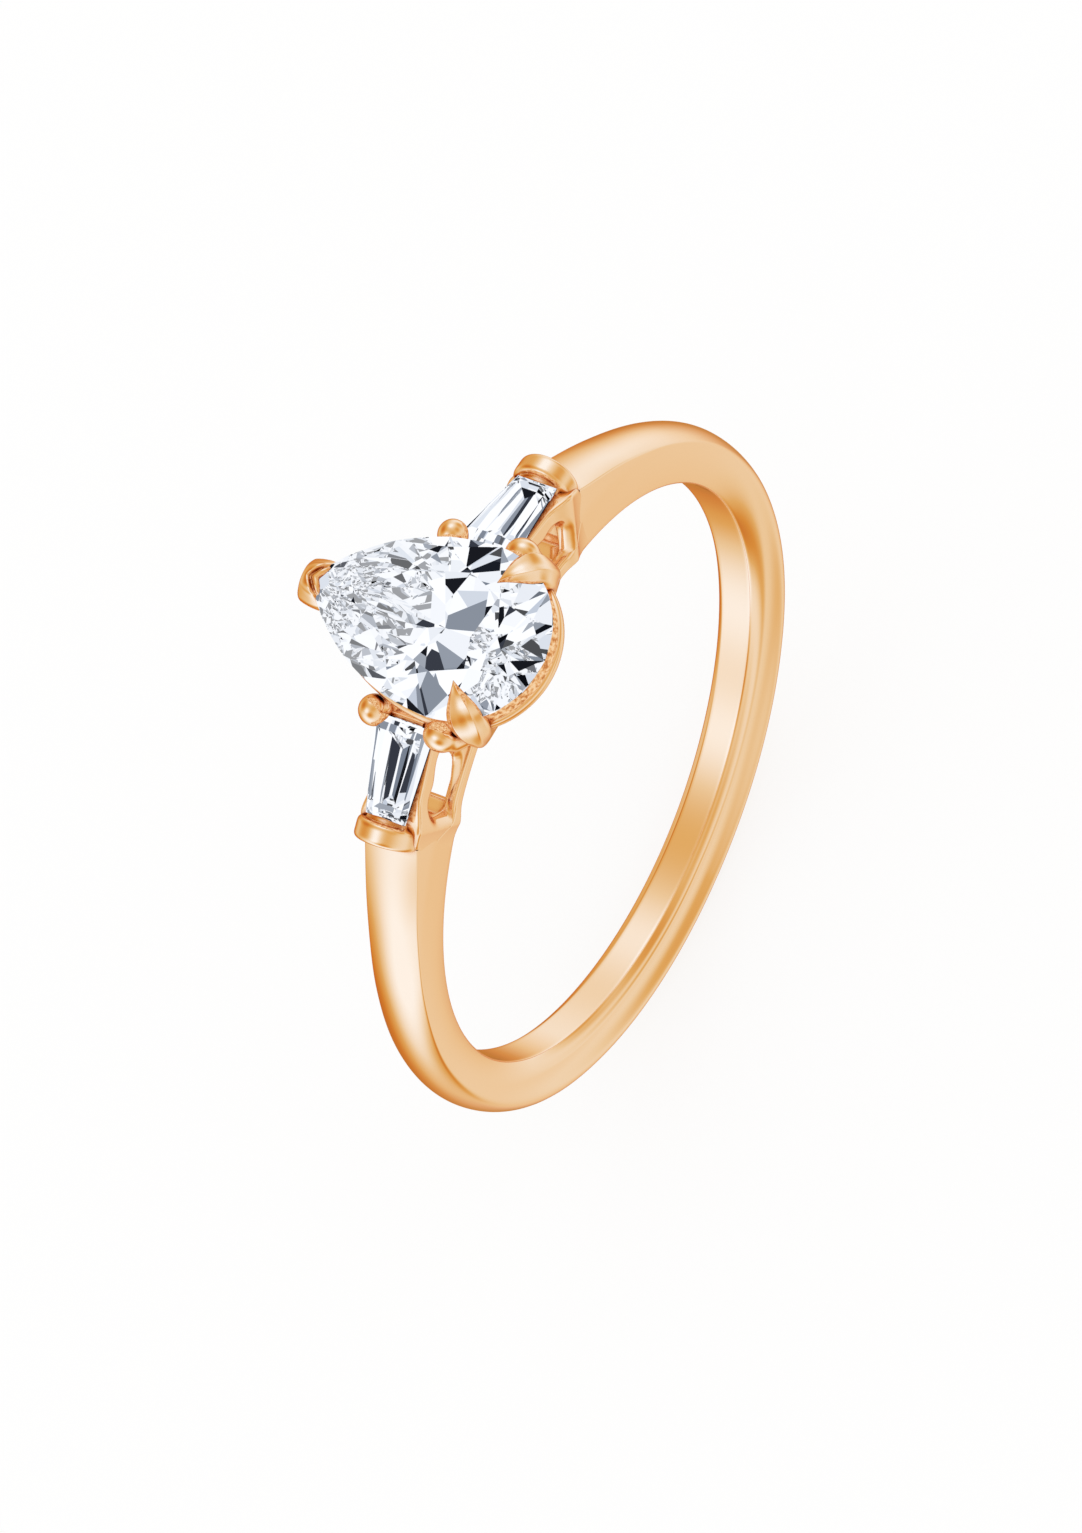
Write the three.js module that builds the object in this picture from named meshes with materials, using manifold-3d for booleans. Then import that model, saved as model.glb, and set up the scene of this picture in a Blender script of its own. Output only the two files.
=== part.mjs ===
// Three-stone engagement ring: a pear-cut centre stone held by two leaf-shaped claws and a V claw,
// flanked by two tapered baguettes, on a polished rose-gold band.
//
// Frame: +Z runs from the bottom of the band up through the centre stone, Y is the finger axis with
// +Y at the point of the pear, X runs from shoulder to shoulder. Millimetres. Everything is laid out
// about the centre of the finger hole, and the outer group lifts it so that the band stands on z = 0.
import * as THREE from 'three';
import { mergeVertices } from 'three/addons/utils/BufferGeometryUtils.js';
import Module from 'manifold-3d';

const wasm = await Module();
wasm.setup();

// ---- Driving dimensions ----

const FINGER_RADIUS = 8.5;
const GAP = 0.012; // working clearance left between neighbouring pieces

// Band sections: angle from the head, middle of the ridges, their half width and radius, and the
// rise of the crown between them.
const BAND_SECTIONS = [
  { deg: 30.5, centre: -0.07, half: 0.84, ridge: 10.92, crown: 0.12 },
  { deg: 45, centre: -0.06, half: 0.8, ridge: 10.23, crown: 0.21 },
  { deg: 60, centre: -0.04, half: 0.8, ridge: 9.88, crown: 0.29 },
  { deg: 80, centre: 0, half: 0.84, ridge: 9.69, crown: 0.35 },
  { deg: 100, centre: 0, half: 0.99, ridge: 9.6, crown: 0.48 },
  { deg: 120, centre: 0, half: 1.04, ridge: 9.55, crown: 0.64 },
  { deg: 180, centre: 0, half: 1.02, ridge: 9.47, crown: 0.75 },
];
const BORE_HALF_WIDTH = 0.6; // half width of the flat against the finger, beside the finger
const BORE_HALF_SWING = 0.12; // it is this much wider at the head and narrower at the bottom
const BAND_STEPS = 75;
const CROWN_STEPS = 7; // an odd number leaves one flat strip along the middle
const BAND_BOTTOM = 9.47 + 0.75;

// Pear outline: a round end of PEAR_RADIUS, and two wing arcs of WING_RADIUS that meet in the point.
const PEAR_RADIUS = 2.5;
const WING_RADIUS = 5.88;
const PEAR_CENTRE_Y = -1.14;
const PEAR_STEPS = 8; // straight pieces in each arc of the outline
const GIRDLE_TOP = 13.1;
const GIRDLE_BOTTOM = 13.0;
const TABLE_Z = 13.75;
const TABLE_SCALE = 0.58; // table size over girdle size
const TABLE_SHIFT = 0.3; // the table is centred this far from the round end's centre
const CULET_Z = 10.85;
const STAR_HEIGHT = 0.52; // height of the star tips, as a share of the crown
const LOWER_HALF_HEIGHT = 0.24; // height where lower halves meet, as a share of the pavilion

// Tapered baguettes, in the XZ plane: centres of the inner and outer girdle edges.
const BAGUETTE_INNER = new THREE.Vector2(2.6, 11.83);
const BAGUETTE_OUTER = new THREE.Vector2(5.05, 10.49);
const BAGUETTE_INNER_HALF = 0.93;
const BAGUETTE_OUTER_HALF = 0.61;
const SETTING_Y = -0.07; // the side settings sit this far towards the round end of the pear
const BAGUETTE_CROWN = 0.3;
const BAGUETTE_GIRDLE = 0.06;
const BAGUETTE_DEPTH = 0.8;

// Head rails.
const RAIL_OFFSET = 0.01; // outer edge of the upper rail, outside the girdle outline
const RAIL_WIDTH = 0.18;
const RAIL_BOTTOM = 12.09;
const RAIL_HEIGHT = 0.28;
const BASE_OFFSET = -1.5;
const BASE_WIDTH = 0.26;
const BASE_BOTTOM = 9.12;
const BASE_HEIGHT = 0.3;

// Side frames and bridges: upright plates at this distance from the XZ plane.
const FRAME_INNER_Y = 0.46;
const FRAME_OUTER_Y = 0.8;
const BRIDGE_INNER_Y = 0.42;
const BRIDGE_OUTER_Y = 0.72;
const BRIDGE_INNER_RADIUS = 8.58;
const BRIDGE_OUTER_RADIUS = 9.1;
const PLATE_STEPS = 6;
const BAR_LENGTH = 1.44;
const BAR_CENTRE_Y = -0.02;
const HEAD_HALF_ANGLE = 30.35; // the band ends at 30.5 degrees

// Posts taper towards their feet.
const POST_TAPER = 0.75;
const POST_SIDES = 12;

// Leaf claws: the tip's place in plan and the direction the claw runs outwards.
const CLAW_TIP = new THREE.Vector2(1.48, -1.75);
const CLAW_DEG = -34;

const UP = new THREE.Vector3(0, 0, 1);
const rad = THREE.MathUtils.degToRad;

// ---- Solids ----

function solidOf(geometry) {
  const bare = new THREE.BufferGeometry();
  bare.setAttribute('position', geometry.getAttribute('position').clone());
  if (geometry.index) bare.setIndex(geometry.index.clone());
  const merged = mergeVertices(bare, 1e-4);
  return new wasm.Manifold(new wasm.Mesh({
    numProp: 3,
    vertProperties: new Float32Array(merged.attributes.position.array),
    triVerts: new Uint32Array(merged.index.array),
  }));
}

function geometryOf(solid) {
  const mesh = solid.getMesh();
  const geometry = new THREE.BufferGeometry();
  geometry.setAttribute('position', new THREE.BufferAttribute(mesh.vertProperties, 3));
  geometry.setIndex(new THREE.BufferAttribute(mesh.triVerts, 1));
  geometry.computeVertexNormals();
  return geometry;
}

// The solid pushed out by about `gap`, as the union of six shifted copies.
function grown(solid, gap = GAP) {
  let result = solid;
  for (const axis of [0, 1, 2]) {
    for (const sign of [-1, 1]) {
      const shift = [0, 0, 0];
      shift[axis] = sign * gap;
      result = result.add(solid.translate(shift));
    }
  }
  return result;
}

// The piece cut clear of its neighbours. Slivers that a cut leaves behind are dropped.
function clearOf(piece, ...neighbours) {
  let result = piece;
  for (const neighbour of neighbours) result = result.subtract(grown(neighbour));
  const bodies = result.decompose();
  return bodies.reduce((a, b) => (b.volume() > a.volume() ? b : a));
}

function mirrored(solid) {
  return solid.mirror([1, 0, 0]);
}

// A closed body through a list of rings, each the same number of points, with flat end caps.
function loft(rings) {
  const count = rings[0].length;
  const points = rings.flat();
  const index = [];
  for (let r = 0; r + 1 < rings.length; r++) {
    for (let i = 0; i < count; i++) {
      const a = r * count + i;
      const b = r * count + (i + 1) % count;
      index.push(a, b, b + count, a, b + count, a + count);
    }
  }
  for (const [start, flip] of [[0, true], [(rings.length - 1) * count, false]]) {
    const centre = points.length;
    const ring = points.slice(start, start + count);
    points.push(ring.reduce((sum, p) => sum.add(p), new THREE.Vector3()).divideScalar(count));
    for (let i = 0; i < count; i++) {
      const a = start + i;
      const b = start + (i + 1) % count;
      index.push(...(flip ? [centre, b, a] : [centre, a, b]));
    }
  }
  const geometry = new THREE.BufferGeometry().setFromPoints(points);
  geometry.setIndex(signedVolume(points, index) > 0 ? index : index.reverse());
  return geometry;
}

function signedVolume(points, index) {
  let volume = 0;
  const cross = new THREE.Vector3();
  for (let i = 0; i < index.length; i += 3) {
    cross.crossVectors(points[index[i + 1]], points[index[i + 2]]);
    volume += points[index[i]].dot(cross) / 6;
  }
  return volume;
}

// A smooth curve through the sections' values of `key`, read at the angle `deg`.
function along(sections, key, deg) {
  const last = sections.length - 2;
  let i = sections.findIndex((s, k) => k <= last && deg <= sections[k + 1].deg);
  if (i < 0) i = last;
  const slope = (k) => {
    const before = sections[Math.max(k - 1, 0)];
    const after = sections[Math.min(k + 1, sections.length - 1)];
    return (after[key] - before[key]) / (after.deg - before.deg);
  };
  const span = sections[i + 1].deg - sections[i].deg;
  const t = (deg - sections[i].deg) / span;
  const rest = 1 - t;
  return sections[i][key] * (1 + 2 * t) * rest * rest
    + sections[i + 1][key] * t * t * (3 - 2 * t)
    + slope(i) * span * t * rest * rest
    - slope(i + 1) * span * t * t * rest;
}

// The XZ point at a radius from the finger axis and an angle from the top of the ring.
function polar(radius, deg) {
  return [radius * Math.sin(rad(deg)), radius * Math.cos(rad(deg))];
}

// ---- Band ----

// One cross-section of the band: a flat against the finger, slanted flanks up to a ridge on each
// side, and an arched crown between the ridges. Each point is [distance from the finger axis, y].
function bandProfile(deg) {
  const centre = along(BAND_SECTIONS, 'centre', deg);
  const half = along(BAND_SECTIONS, 'half', deg);
  const ridge = along(BAND_SECTIONS, 'ridge', deg);
  const crown = along(BAND_SECTIONS, 'crown', deg);
  const bore = BORE_HALF_WIDTH + BORE_HALF_SWING * Math.cos(rad(deg));
  const radius = (half * half + crown * crown) / (2 * crown);
  const edge = Math.asin(half / radius);
  const profile = [[FINGER_RADIUS, -bore], [FINGER_RADIUS, bore]];
  for (let i = 0; i <= CROWN_STEPS; i++) {
    const a = edge * (1 - 2 * i / CROWN_STEPS);
    profile.push([ridge + crown - radius + radius * Math.cos(a), centre + radius * Math.sin(a)]);
  }
  return profile;
}

function bandSolid() {
  const start = BAND_SECTIONS[0].deg;
  const rings = [];
  for (let i = 0; i <= BAND_STEPS; i++) {
    const deg = start + (360 - 2 * start) * i / BAND_STEPS;
    const profile = bandProfile(Math.min(deg, 360 - deg));
    rings.push(profile.map(([radius, y]) => {
      const [x, z] = polar(radius, deg);
      return new THREE.Vector3(x, y, z);
    }));
  }
  return solidOf(loft(rings));
}

// ---- Pear outline ----

const WING_CENTRE_X = WING_RADIUS - PEAR_RADIUS;

function tracePear(path, offset) {
  const wing = WING_RADIUS + offset;
  const tip = Math.acos(WING_CENTRE_X / wing);
  path.absarc(0, PEAR_CENTRE_Y, PEAR_RADIUS + offset, Math.PI, 2 * Math.PI, false);
  path.absarc(-WING_CENTRE_X, PEAR_CENTRE_Y, wing, 0, tip, false);
  path.absarc(WING_CENTRE_X, PEAR_CENTRE_Y, wing, Math.PI - tip, Math.PI, false);
  return path;
}

// An upright pear-shaped slab or, with a width, a pear-shaped rail.
function pearExtrusion(offset, bottom, height, width = 0) {
  const shape = tracePear(new THREE.Shape(), offset);
  if (width) shape.holes.push(tracePear(new THREE.Path(), offset - width));
  const options = { depth: height, bevelEnabled: false, curveSegments: PEAR_STEPS };
  return solidOf(new THREE.ExtrudeGeometry(shape, options).translate(0, 0, bottom));
}

// The point of the girdle outline whose outward normal stands at `deg` in plan. 90 is the pear's point.
function girdlePoint(deg, z) {
  const tipY = PEAR_CENTRE_Y + Math.sqrt(WING_RADIUS ** 2 - WING_CENTRE_X ** 2);
  if (deg === 90) return new THREE.Vector3(0, tipY, z);
  const direction = new THREE.Vector3(Math.cos(rad(deg)), Math.sin(rad(deg)), 0);
  const onWing = deg > 0 && deg < 180;
  const radius = onWing ? WING_RADIUS : PEAR_RADIUS;
  const centreX = onWing ? -Math.sign(direction.x) * WING_CENTRE_X : 0;
  return new THREE.Vector3(centreX, PEAR_CENTRE_Y, z).addScaledVector(direction, radius);
}

// ---- Stones: each facet is ground flat on an extruded blank ----

const WHEEL_SIZE = 20;

// The stone with everything beyond the plane through a, b and c taken off. `inside` stays.
function grind(stone, a, b, c, inside) {
  const plane = new THREE.Plane().setFromCoplanarPoints(a, b, c);
  if (plane.distanceToPoint(inside) > 0) plane.negate();
  const towardsWheel = new THREE.Quaternion().setFromUnitVectors(UP, plane.normal);
  const wheel = new THREE.BoxGeometry(WHEEL_SIZE, WHEEL_SIZE, WHEEL_SIZE);
  wheel.translate(0, 0, WHEEL_SIZE / 2);
  wheel.applyQuaternion(towardsWheel);
  wheel.translate(a.x, a.y, a.z);
  return stone.subtract(solidOf(wheel));
}

// Where two planes, each through three points, meet at height z.
function meetAt(first, second, z) {
  const p = new THREE.Plane().setFromCoplanarPoints(...first);
  const q = new THREE.Plane().setFromCoplanarPoints(...second);
  const det = p.normal.x * q.normal.y - q.normal.x * p.normal.y;
  const rp = -p.constant - p.normal.z * z;
  const rq = -q.constant - q.normal.z * z;
  const x = (rp * q.normal.y - rq * p.normal.y) / det;
  const y = (p.normal.x * rq - q.normal.x * rp) / det;
  return new THREE.Vector3(x, y, z);
}

// Plan directions of the eight main facets and of the girdle points between them, anticlockwise
// from the round end, and the slope of each pavilion main.
const MAIN_DEG = [-90, -45, 0, 30, 90, 150, 180, 225];
const MIDDLE_DEG = [-67.5, -22.5, 15, 43, 137, 165, 202.5, 247.5];
const PAVILION_DEG = [41, 41, 40.5, 39.5, 37, 39.5, 40.5, 41];

function centreStoneSolid() {
  const inside = new THREE.Vector3(0, PEAR_CENTRE_Y, (GIRDLE_TOP + GIRDLE_BOTTOM) / 2);
  const tableCentre = new THREE.Vector3(0, PEAR_CENTRE_Y + TABLE_SHIFT, 0);
  const crownZ = GIRDLE_TOP + STAR_HEIGHT * (TABLE_Z - GIRDLE_TOP);
  const pavilionZ = CULET_Z + LOWER_HALF_HEIGHT * (GIRDLE_BOTTOM - CULET_Z);
  const mains = MAIN_DEG.map((deg, i) => {
    const outward = new THREE.Vector3(Math.cos(rad(deg)), Math.sin(rad(deg)), 0);
    const sideways = new THREE.Vector3(-outward.y, outward.x, 0);
    const top = girdlePoint(deg, GIRDLE_TOP);
    const bottom = girdlePoint(deg, GIRDLE_BOTTOM);
    const corner = top.clone().lerp(tableCentre, 1 - TABLE_SCALE).setZ(TABLE_Z);
    const down = bottom.clone().sub(outward);
    down.z -= Math.tan(rad(PAVILION_DEG[i]));
    return {
      top,
      bottom,
      corner,
      crown: [top, top.clone().add(sideways), corner],
      pavilion: [bottom, bottom.clone().add(sideways), down],
    };
  });
  let stone = pearExtrusion(0, CULET_Z - 1, TABLE_Z - CULET_Z + 1);
  mains.forEach((main, i) => {
    const next = mains[(i + 1) % mains.length];
    const starTip = meetAt(main.crown, next.crown, crownZ);
    const halfTip = meetAt(main.pavilion, next.pavilion, pavilionZ);
    const midTop = girdlePoint(MIDDLE_DEG[i], GIRDLE_TOP);
    const midBottom = girdlePoint(MIDDLE_DEG[i], GIRDLE_BOTTOM);
    stone = grind(stone, ...main.crown, inside);
    stone = grind(stone, ...main.pavilion, inside);
    stone = grind(stone, main.corner, next.corner, starTip, inside);
    for (const side of [main, next]) {
      stone = grind(stone, side.top, midTop, starTip, inside);
      stone = grind(stone, side.bottom, midBottom, halfTip, inside);
    }
  });
  return stone;
}

// A tapered step-cut stone in its own frame: x runs outwards along it, z is out of its table.
function baguetteBlank() {
  const length = BAGUETTE_INNER.distanceTo(BAGUETTE_OUTER);
  const shape = new THREE.Shape();
  shape.moveTo(0, -BAGUETTE_INNER_HALF);
  shape.lineTo(length, -BAGUETTE_OUTER_HALF);
  shape.lineTo(length, BAGUETTE_OUTER_HALF);
  shape.lineTo(0, BAGUETTE_INNER_HALF);
  const depth = BAGUETTE_CROWN + BAGUETTE_GIRDLE + BAGUETTE_DEPTH;
  const geometry = new THREE.ExtrudeGeometry(shape, { depth, bevelEnabled: false });
  return solidOf(geometry.translate(0, 0, -BAGUETTE_GIRDLE - BAGUETTE_DEPTH));
}

// Steps of a step cut: how far in from the girdle each facet starts, and its slope.
const CROWN_STEPS_DEG = [{ inset: 0, deg: 46 }, { inset: 0.14, deg: 32 }];
const PAVILION_STEPS_DEG = [{ inset: 0, deg: 58 }, { inset: 0.16, deg: 46 }, { inset: 0.38, deg: 36 }];

// Grinds one run of steps down an edge. `sign` is 1 on the crown and -1 on the pavilion.
function grindSteps(stone, edge, inwards, steps, sign, inside) {
  let [a, b] = edge;
  steps.forEach(({ inset, deg }, i) => {
    const previous = i ? steps[i - 1] : null;
    if (previous) {
      const run = inset - previous.inset;
      const step = inwards.clone().multiplyScalar(run);
      step.z = sign * run * Math.tan(rad(previous.deg));
      a = a.clone().add(step);
      b = b.clone().add(step);
    }
    const c = a.clone().add(inwards);
    c.z += sign * Math.tan(rad(deg));
    stone = grind(stone, a, b, c, inside);
  });
  return stone;
}

function baguetteSolid() {
  const length = BAGUETTE_INNER.distanceTo(BAGUETTE_OUTER);
  const corners = [
    [0, -BAGUETTE_INNER_HALF],
    [length, -BAGUETTE_OUTER_HALF],
    [length, BAGUETTE_OUTER_HALF],
    [0, BAGUETTE_INNER_HALF],
  ];
  const inside = new THREE.Vector3(length / 2, 0, -BAGUETTE_GIRDLE / 2);
  let stone = baguetteBlank();
  corners.forEach(([x, y], i) => {
    const [nextX, nextY] = corners[(i + 1) % corners.length];
    const inwards = new THREE.Vector3(y - nextY, nextX - x, 0).normalize();
    const edgeAt = (z) => [new THREE.Vector3(x, y, z), new THREE.Vector3(nextX, nextY, z)];
    stone = grindSteps(stone, edgeAt(0), inwards, CROWN_STEPS_DEG, 1, inside);
    stone = grindSteps(stone, edgeAt(-BAGUETTE_GIRDLE), inwards, PAVILION_STEPS_DEG, -1, inside);
  });
  return placeOnBaguette(stone);
}

// Moves a solid from the baguette's own frame to its place on the +X shoulder.
function placeOnBaguette(solid) {
  const slope = BAGUETTE_OUTER.clone().sub(BAGUETTE_INNER);
  const tilt = THREE.MathUtils.radToDeg(Math.atan2(-slope.y, slope.x));
  return solid.rotate([0, tilt, 0]).translate([BAGUETTE_INNER.x, SETTING_Y, BAGUETTE_INNER.y]);
}

// ---- Head ----

// Stations along a leaf claw, from its point, over the girdle and down to the base rail:
// distance outwards and height of the back's middle, lean of the back from upright, half width of the
// flat back, half width of the body, and thickness.
const CLAW_STATIONS = [
  { out: -0.02, z: 13.64, lean: -4, back: 0.01, body: 0.03, thick: 0.08 },
  { out: 0.22, z: 13.7, lean: 0, back: 0.06, body: 0.16, thick: 0.3 },
  { out: 0.52, z: 13.69, lean: 10, back: 0.15, body: 0.32, thick: 0.5 },
  { out: 0.82, z: 13.58, lean: 28, back: 0.24, body: 0.44, thick: 0.62 },
  { out: 1.1, z: 13.36, lean: 50, back: 0.29, body: 0.51, thick: 0.7 },
  { out: 1.3, z: 12.98, lean: 74, back: 0.3, body: 0.54, thick: 0.74 },
  { out: 1.38, z: 12.52, lean: 92, back: 0.27, body: 0.53, thick: 0.74 },
  { out: 1.33, z: 12.08, lean: 106, back: 0.2, body: 0.45, thick: 0.64 },
  { out: 1.1, z: 11.6, lean: 118, back: 0.16, body: 0.34, thick: 0.46 },
  { out: 0.4, z: 10.6, lean: 122, back: 0.13, body: 0.25, thick: 0.36 },
  { out: -0.45, z: 9.45, lean: 124, back: 0.12, body: 0.22, thick: 0.32 },
];

// The claw's section: a flat back, two slanted cheeks and a narrow belly, anticlockwise, as shares of
// the half widths and the thickness.
function clawOutline({ back, body, thick }) {
  return [
    [back, 0],
    [-back, 0],
    [-body, -0.45 * thick],
    [-0.75 * body, -thick],
    [0.75 * body, -thick],
    [body, -0.45 * thick],
  ];
}

function leafClawBlank() {
  const outwards = new THREE.Vector3(Math.cos(rad(CLAW_DEG)), Math.sin(rad(CLAW_DEG)), 0);
  const sideways = new THREE.Vector3(-outwards.y, outwards.x, 0);
  const rings = CLAW_STATIONS.map((station) => {
    const lean = rad(station.lean);
    const normal = UP.clone().multiplyScalar(Math.cos(lean)).addScaledVector(outwards, Math.sin(lean));
    const origin = new THREE.Vector3(CLAW_TIP.x, CLAW_TIP.y, station.z);
    origin.addScaledVector(outwards, station.out);
    return clawOutline(station).map(([across, depth]) => (
      origin.clone().addScaledVector(sideways, across).addScaledVector(normal, depth)
    ));
  });
  return solidOf(loft(rings));
}

// The V claw's cap, in plan: a chevron that wraps the stone's point, its arms over the crown's edge.
function tipClawCap() {
  const shape = new THREE.Shape();
  shape.moveTo(0, 3.4);
  shape.lineTo(0.4, 3.12);
  shape.quadraticCurveTo(0.55, 3.08, 0.57, 3.24);
  shape.quadraticCurveTo(0.52, 3.8, 0, 3.8);
  shape.quadraticCurveTo(-0.52, 3.8, -0.57, 3.24);
  shape.quadraticCurveTo(-0.55, 3.08, -0.4, 3.12);
  const bevel = 0.1;
  const geometry = new THREE.ExtrudeGeometry(shape, {
    depth: 0.85,
    bevelSize: bevel,
    bevelThickness: bevel,
    bevelSegments: 2,
    curveSegments: 6,
  });
  return solidOf(geometry.translate(0, 0, 12.5));
}

// A straight tapered post from one point to another, oval in section.
function post(from, to, wide, deep) {
  const rings = [[from, 1], [to, POST_TAPER]].map(([centre, scale]) => {
    const ring = [];
    for (let i = 0; i < POST_SIDES; i++) {
      const a = 2 * Math.PI * i / POST_SIDES;
      const step = new THREE.Vector3(wide * Math.cos(a), deep * Math.sin(a), 0);
      ring.push(centre.clone().addScaledVector(step, scale));
    }
    return ring;
  });
  return solidOf(loft(rings));
}

function tipClawBlank() {
  const stem = post(new THREE.Vector3(0, 3.55, 12.6), new THREE.Vector3(0, 1.5, 9.45), 0.34, 0.28);
  return tipClawCap().add(stem);
}

// A rounded bead on a short stem, gripping one inner corner of a baguette.
function beadBlank(centre, radius, foot) {
  const ball = new THREE.SphereGeometry(radius, 14, 9).translate(centre.x, centre.y, centre.z);
  return solidOf(ball).add(post(centre, foot, 0.75 * radius, 0.75 * radius));
}

// ---- Side settings ----

// An upright plate cut from an XZ outline, between two distances from the XZ plane on one side.
function uprightPlate(shape, inner, outer, side) {
  const options = { depth: outer - inner, bevelEnabled: false, curveSegments: PLATE_STEPS };
  const geometry = new THREE.ExtrudeGeometry(shape, options);
  geometry.rotateX(Math.PI / 2);
  geometry.translate(0, side > 0 ? outer : -inner, 0);
  return solidOf(geometry);
}

// A rib that carries the finger hole's curve on under the head.
function bridgeSolid(side) {
  const shape = new THREE.Shape();
  const from = rad(90 - HEAD_HALF_ANGLE);
  const to = rad(90 + HEAD_HALF_ANGLE);
  shape.absarc(0, 0, BRIDGE_OUTER_RADIUS, from, to, false);
  shape.absarc(0, 0, BRIDGE_INNER_RADIUS, to, from, true);
  return uprightPlate(shape, BRIDGE_INNER_Y, BRIDGE_OUTER_Y, side);
}

// The plate beside a baguette: a top rail, an outer end against the band and an inner post, around
// a long window that the bridge closes below.
function sideFrameBlank(side) {
  const foot = BRIDGE_OUTER_RADIUS + GAP;
  const shape = new THREE.Shape();
  shape.moveTo(...polar(foot, HEAD_HALF_ANGLE));
  shape.lineTo(...polar(10.9, HEAD_HALF_ANGLE));
  shape.lineTo(5.42, 9.78);
  shape.lineTo(5.0, 10.22);
  shape.lineTo(2.5, 11.62);
  shape.lineTo(2.15, 11.5);
  shape.lineTo(...polar(foot, 13.5));
  shape.lineTo(...polar(foot, 16.3));
  shape.lineTo(2.68, 9.9);
  shape.quadraticCurveTo(2.78, 10.6, 3.3, 10.3);
  shape.quadraticCurveTo(4.1, 9.95, 4.4, 9.5);
  shape.quadraticCurveTo(4.62, 9.05, 4.3, 8.6);
  shape.lineTo(...polar(foot, 25.6));
  shape.lineTo(...polar(foot, 28));
  return uprightPlate(shape, FRAME_INNER_Y, FRAME_OUTER_Y, side);
}

// The bar over a baguette's outer end, with the wall below it that closes the end of the setting.
function endBarBlank() {
  const wall = new THREE.Shape();
  wall.moveTo(...polar(9.2, HEAD_HALF_ANGLE));
  wall.lineTo(...polar(10.95, HEAD_HALF_ANGLE));
  wall.lineTo(5.5, 9.95);
  wall.lineTo(4.95, 10.3);
  wall.lineTo(4.35, 8.35);
  const bar = new THREE.Shape();
  bar.moveTo(5.4, 9.66);
  bar.quadraticCurveTo(5.66, 10.02, 5.48, 10.38);
  bar.quadraticCurveTo(5.36, 10.64, 5.14, 10.62);
  bar.lineTo(5.03, 10.5);
  bar.lineTo(5.03, 10.2);
  const bevel = 0.08;
  const barGeometry = new THREE.ExtrudeGeometry(bar, {
    depth: BAR_LENGTH - 2 * bevel,
    bevelSize: bevel,
    bevelThickness: bevel,
    bevelSegments: 2,
    curveSegments: 5,
  });
  barGeometry.rotateX(Math.PI / 2).translate(0, BAR_CENTRE_Y + BAR_LENGTH / 2 - bevel, 0);
  const web = FRAME_INNER_Y - GAP;
  return uprightPlate(wall, -web, web, -1).add(solidOf(barGeometry));
}

// A short bar between the two side frames, under the baguette's inner end.
function crossBarBlank() {
  const width = 2 * (FRAME_INNER_Y - GAP);
  const box = new THREE.BoxGeometry(0.32, width, 0.6).translate(0.1, 0, -0.5);
  return placeOnBaguette(solidOf(box));
}

// ---- Assembly ----

const GOLD = { color: 0xe8b27a, roughness: 0.12, metalness: 1 };
const DIAMOND = { color: 0xf4f7fa, roughness: 0.02, metalness: 0 };

const ring = new THREE.Group();
ring.position.z = BAND_BOTTOM;

function add(name, solid, look) {
  const mesh = new THREE.Mesh(geometryOf(solid), new THREE.MeshStandardMaterial(look));
  mesh.name = name;
  ring.add(mesh);
}

const centreStone = centreStoneSolid();
const baguette = baguetteSolid();
const upperRail = pearExtrusion(RAIL_OFFSET, RAIL_BOTTOM, RAIL_HEIGHT, RAIL_WIDTH);
const leafClaw = clearOf(leafClawBlank(), centreStone, upperRail);

add('shank', bandSolid(), GOLD);
add('centre_stone', centreStone, DIAMOND);
add('gallery_rail', upperRail, GOLD);
add('base_rail', pearExtrusion(BASE_OFFSET, BASE_BOTTOM, BASE_HEIGHT, BASE_WIDTH), GOLD);
add('tip_claw', clearOf(tipClawBlank(), centreStone, upperRail), GOLD);
add('bridge_front', bridgeSolid(-1), GOLD);
add('bridge_rear', bridgeSolid(1), GOLD);

// The pieces of one shoulder, built at +X.
const frontBead = beadBlank(new THREE.Vector3(2.7, -1.34, 12.25), 0.4, new THREE.Vector3(2.5, -0.9, 11.2));
const rearBead = beadBlank(new THREE.Vector3(2.64, 0.93, 12.12), 0.35, new THREE.Vector3(2.5, 0.8, 11.2));
const endBar = clearOf(endBarBlank(), baguette);
const sideParts = {
  side_stone: [baguette, DIAMOND],
  claw: [leafClaw, GOLD],
  bead_front: [clearOf(frontBead, centreStone, upperRail, baguette, leafClaw), GOLD],
  bead_rear: [clearOf(rearBead, centreStone, upperRail, baguette), GOLD],
  end_bar: [endBar, GOLD],
  side_frame_front: [clearOf(sideFrameBlank(-1), baguette, endBar, frontBead), GOLD],
  side_frame_rear: [clearOf(sideFrameBlank(1), baguette, endBar, rearBead), GOLD],
  cross_bar: [clearOf(crossBarBlank(), baguette, upperRail), GOLD],
};

for (const [name, [solid, look]] of Object.entries(sideParts)) {
  add(`${name}_right`, solid, look);
  add(`${name}_left`, mirrored(solid), look);
}

export default ring;
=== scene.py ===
"""Looks of the engagement ring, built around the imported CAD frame.

The shapes are laid out in millimetres about the centre of the finger hole, as the CAD is, and
moved to the row frame in metres when each mesh is made. +Y is the point of the pear.
"""

import math

import bmesh
import bpy
import numpy as np
import openvdb
from mathutils import Matrix, Vector


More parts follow.
